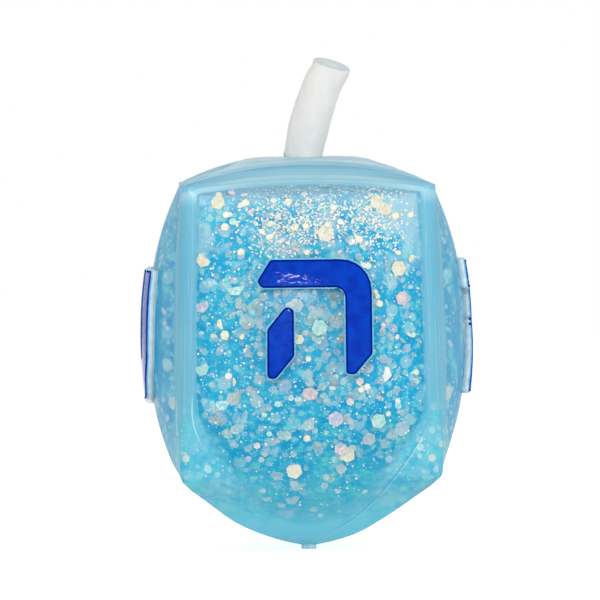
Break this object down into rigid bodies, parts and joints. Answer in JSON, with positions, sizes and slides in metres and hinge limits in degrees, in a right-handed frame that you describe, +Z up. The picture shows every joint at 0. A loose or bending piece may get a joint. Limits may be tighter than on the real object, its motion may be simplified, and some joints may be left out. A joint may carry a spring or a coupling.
{
  "type": "squeezable glitter dreidel",
  "caption": "Soft four-sided spinning top: clear pillow-shaped rubber skin filled with blue glitter gel, raised blue Hebrew letters, milky rubber stem leaning on its roof.",
  "frame": {"origin": "the flat end of the stub at the tip, on the spin axis", "axes": "+Z up the spin axis towards the roof and stem, -Y out of the face with the letter he, +X out of the face with the letter gimel"},
  "size_m": [0.0598, 0.0596, 0.0883],
  "materials": {
    "clear_rubber": "clear soft thermoplastic rubber, faintly blue, glossy",
    "milky_rubber": "translucent milky rubber, satin",
    "tinted_gel": "clear water-based gel tinted blue",
    "blue_paint": "glossy deep blue paint on rubber",
    "cream_glitter": "iridescent cream film",
    "pearl_glitter": "iridescent pearl film",
    "mint_glitter": "iridescent mint film"
  },
  "bodies": {
    "toy": {"skin": "clear_rubber", "spin_tip": "clear_rubber", "fill_plug": "clear_rubber", "stem_neck": "milky_rubber", "gel_fill": "tinted_gel", "relief_he": "clear_rubber", "relief_gimel": "clear_rubber", "relief_shin": "clear_rubber", "relief_nun": "clear_rubber", "paint_he": "blue_paint", "paint_gimel": "blue_paint", "paint_shin": "blue_paint", "paint_nun": "blue_paint", "large_flakes": "cream_glitter", "medium_flakes": "pearl_glitter", "fine_flakes": "mint_glitter"},
    "stem": {"stem": "milky_rubber"}
  },
  "joints": [
    {"name": "stem_flex", "type": "hinge", "parent": "toy", "child": "stem", "pos_m": [0.00016, -0.00036, 0.07199], "axis": [0, 1, 0], "range_deg": [-30, 20], "stiffness_Nm_per_rad": 0.015, "deforming": ["stem_neck"]}
  ]
}
